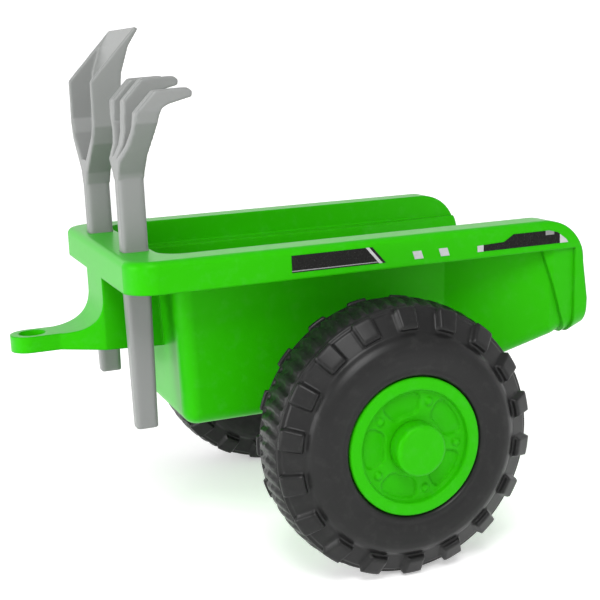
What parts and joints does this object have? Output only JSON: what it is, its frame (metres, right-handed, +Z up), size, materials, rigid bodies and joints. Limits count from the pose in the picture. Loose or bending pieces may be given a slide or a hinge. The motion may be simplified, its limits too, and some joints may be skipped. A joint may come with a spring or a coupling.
{
  "type": "toy tractor trailer",
  "caption": "Two-wheeled toy trailer with an open tub, pouring spout and hitch tongue, and a shovel and a rake standing in slots in its front ledge.",
  "frame": {"origin": "on the floor, at the middle of the whole trailer's length and width", "axes": "+X forward to the hitch, +Y to the left, +Z up"},
  "size_m": [0.511, 0.445, 0.47],
  "materials": {
    "green_plastic": "smooth moulded, satin gloss",
    "grey_plastic": "smooth moulded, satin",
    "tyre_plastic": "blow moulded, dull sheen",
    "black_plastic": "moulded, dull",
    "nylon": "natural white",
    "steel": "zinc plated",
    "sticker_film": "printed film"
  },
  "bodies": {
    "trailer": {"tub": "green_plastic", "axle": "steel", "axle_spacer_left": "black_plastic", "inner_washer_left": "steel", "outer_washer_left": "steel", "lock_cap_left": "steel", "front_sticker_left": "sticker_film", "rear_sticker_left": "sticker_film", "axle_spacer_right": "black_plastic", "inner_washer_right": "steel", "outer_washer_right": "steel", "lock_cap_right": "steel", "front_sticker_right": "sticker_film", "rear_sticker_right": "sticker_film"},
    "wheel_left": {"tyre_left": "tyre_plastic", "wheel_body_left": "black_plastic", "rim_disc_left": "green_plastic", "hub_cap_left": "green_plastic", "inner_bush_left": "nylon", "outer_bush_left": "nylon"},
    "wheel_right": {"tyre_right": "tyre_plastic", "wheel_body_right": "black_plastic", "rim_disc_right": "green_plastic", "hub_cap_right": "green_plastic", "inner_bush_right": "nylon", "outer_bush_right": "nylon"},
    "rake": {"rake": "grey_plastic"},
    "shovel": {"shovel": "grey_plastic"}
  },
  "joints": [
    {"name": "wheel_left_spin", "type": "hinge", "parent": "trailer", "child": "wheel_left", "pos_m": [-0.0375, 0.1695, 0.118], "axis": [0, 1, 0], "continuous": true},
    {"name": "wheel_right_spin", "type": "hinge", "parent": "trailer", "child": "wheel_right", "pos_m": [-0.0375, -0.1695, 0.118], "axis": [0, 1, 0], "continuous": true},
    {"name": "rake_lift", "type": "slide", "parent": "trailer", "child": "rake", "axis": [0, 0, 1], "range_m": [0, 0.18]},
    {"name": "shovel_lift", "type": "slide", "parent": "trailer", "child": "shovel", "axis": [0, 0, 1], "range_m": [0, 0.16]}
  ]
}
